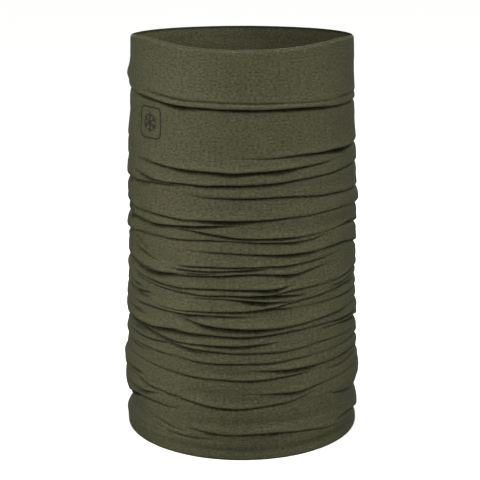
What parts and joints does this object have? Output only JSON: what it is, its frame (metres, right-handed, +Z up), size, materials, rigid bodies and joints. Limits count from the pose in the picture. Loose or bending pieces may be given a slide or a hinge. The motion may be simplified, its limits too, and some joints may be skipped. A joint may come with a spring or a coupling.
{
  "type": "neck gaiter",
  "caption": "Seamless knitted tube worn round the neck and face, gathered in folds and standing on its open lower edge, with a small round-cornered badge.",
  "frame": {"origin": "the middle of the open lower edge, on the surface that the tube stands on", "axes": "+Z up along the tube to its upper edge, the front towards -Y, +X to the right of the front"},
  "size_m": [0.1578, 0.142, 0.2626],
  "materials": {
    "knit": "matt microfibre jersey, olive",
    "film": "matt dark heat-transfer film"
  },
  "bodies": {
    "lower_edge": {"lower_edge_band": "knit"},
    "gather_01": {"gather_fold_01": "knit"},
    "gather_02": {"gather_fold_02": "knit"},
    "gather_03": {"gather_fold_03": "knit"},
    "gather_04": {"gather_fold_04": "knit"},
    "gather_05": {"gather_fold_05": "knit"},
    "gather_06": {"gather_fold_06": "knit"},
    "gather_07": {"gather_fold_07": "knit"},
    "gather_08": {"gather_fold_08": "knit"},
    "gather_09": {"gather_fold_09": "knit"},
    "gather_10": {"gather_fold_10": "knit"},
    "gather_11": {"gather_fold_11": "knit"},
    "shoulder": {"shoulder_band": "knit", "transfer_badge": "film"},
    "upper_edge": {"upper_edge_band": "knit"}
  },
  "joints": [
    {"name": "pull_up", "type": "slide", "parent": "lower_edge", "child": "upper_edge", "axis": [0, 0, 1], "range_m": [-0.05, 0.15]},
    {"name": "gather_01_slide", "type": "slide", "parent": "lower_edge", "child": "gather_01", "axis": [0, 0, 1], "range_m": [-0.00168, 0.00502]},
    {"name": "gather_02_slide", "type": "slide", "parent": "lower_edge", "child": "gather_02", "axis": [0, 0, 1], "range_m": [-0.00424, 0.01269]},
    {"name": "gather_03_slide", "type": "slide", "parent": "lower_edge", "child": "gather_03", "axis": [0, 0, 1], "range_m": [-0.00771, 0.02312]},
    {"name": "gather_04_slide", "type": "slide", "parent": "lower_edge", "child": "gather_04", "axis": [0, 0, 1], "range_m": [-0.01193, 0.03576]},
    {"name": "gather_05_slide", "type": "slide", "parent": "lower_edge", "child": "gather_05", "axis": [0, 0, 1], "range_m": [-0.01665, 0.04994]},
    {"name": "gather_06_slide", "type": "slide", "parent": "lower_edge", "child": "gather_06", "axis": [0, 0, 1], "range_m": [-0.02172, 0.06512]},
    {"name": "gather_07_slide", "type": "slide", "parent": "lower_edge", "child": "gather_07", "axis": [0, 0, 1], "range_m": [-0.0269, 0.08068]},
    {"name": "gather_08_slide", "type": "slide", "parent": "lower_edge", "child": "gather_08", "axis": [0, 0, 1], "range_m": [-0.03202, 0.09602]},
    {"name": "gather_09_slide", "type": "slide", "parent": "lower_edge", "child": "gather_09", "axis": [0, 0, 1], "range_m": [-0.03686, 0.11054]},
    {"name": "gather_10_slide", "type": "slide", "parent": "lower_edge", "child": "gather_10", "axis": [0, 0, 1], "range_m": [-0.04123, 0.12366]},
    {"name": "gather_11_slide", "type": "slide", "parent": "lower_edge", "child": "gather_11", "axis": [0, 0, 1], "range_m": [-0.04493, 0.13476]},
    {"name": "shoulder_slide", "type": "slide", "parent": "lower_edge", "child": "shoulder", "axis": [0, 0, 1], "range_m": [-0.04907, 0.14719]}
  ],
  "couplings": [
    {"joint": "gather_01_slide", "follows": "pull_up", "ratio": 0.0334},
    {"joint": "gather_02_slide", "follows": "pull_up", "ratio": 0.0845},
    {"joint": "gather_03_slide", "follows": "pull_up", "ratio": 0.1541},
    {"joint": "gather_04_slide", "follows": "pull_up", "ratio": 0.2383},
    {"joint": "gather_05_slide", "follows": "pull_up", "ratio": 0.3329},
    {"joint": "gather_06_slide", "follows": "pull_up", "ratio": 0.4341},
    {"joint": "gather_07_slide", "follows": "pull_up", "ratio": 0.5378},
    {"joint": "gather_08_slide", "follows": "pull_up", "ratio": 0.6401},
    {"joint": "gather_09_slide", "follows": "pull_up", "ratio": 0.7369},
    {"joint": "gather_10_slide", "follows": "pull_up", "ratio": 0.8243},
    {"joint": "gather_11_slide", "follows": "pull_up", "ratio": 0.8983},
    {"joint": "shoulder_slide", "follows": "pull_up", "ratio": 0.9812}
  ]
}
